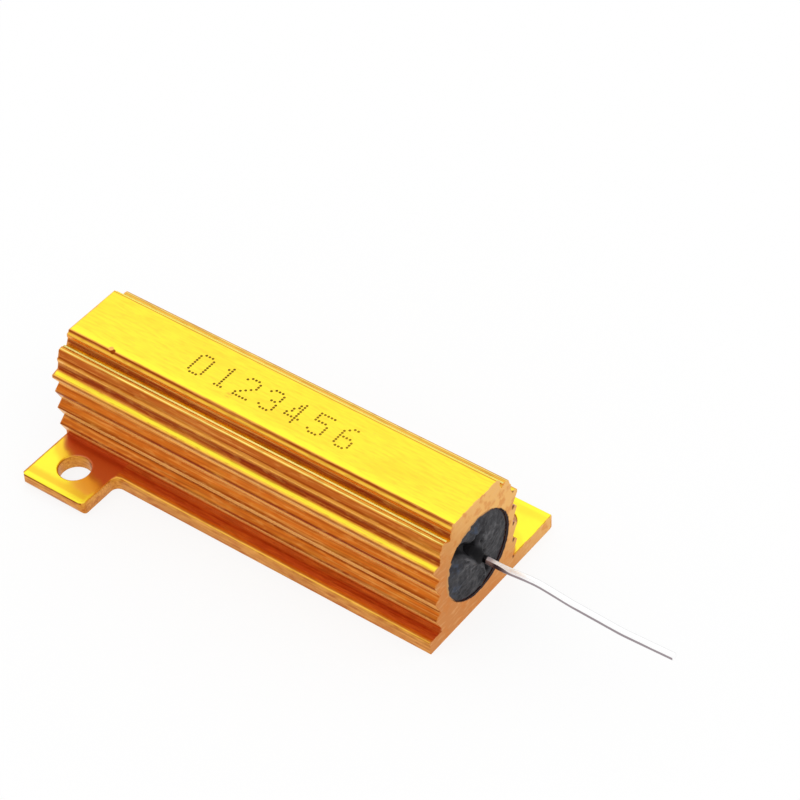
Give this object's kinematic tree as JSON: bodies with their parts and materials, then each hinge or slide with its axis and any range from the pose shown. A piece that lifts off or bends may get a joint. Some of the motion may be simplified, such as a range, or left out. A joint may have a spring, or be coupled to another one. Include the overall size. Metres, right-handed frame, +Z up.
{
  "type": "aluminium housed power resistor",
  "caption": "Wirewound power resistor in a finned gold anodised aluminium housing with two diagonal bolt tabs and axial tinned leads.",
  "frame": {"origin": "centre of the housing's underside, the face that is bolted down", "axes": "+X along the resistor towards the straight lead, +Y across it towards the tab at that end, +Z up out of the mounting face"},
  "size_m": [0.0761, 0.0272, 0.015],
  "materials": {
    "gold_anodised_extrusion": "gold anodised, brushed along the length, sawn ends",
    "dark_compound": "dull moulded compound, uneven at the ends",
    "core_ceramic": "unglazed ceramic",
    "resistance_wire": "rolled resistance ribbon",
    "cap_steel": "pressed plated steel",
    "tinned_wire": "tinned copper wire"
  },
  "bodies": {
    "root": {"housing": "gold_anodised_extrusion", "moulding_compound": "dark_compound", "ceramic_core": "core_ceramic", "resistance_winding": "resistance_wire", "end_cap_left": "cap_steel", "end_cap_right": "cap_steel", "lead_left": "tinned_wire", "lead_right": "tinned_wire"}
  },
  "joints": []
}
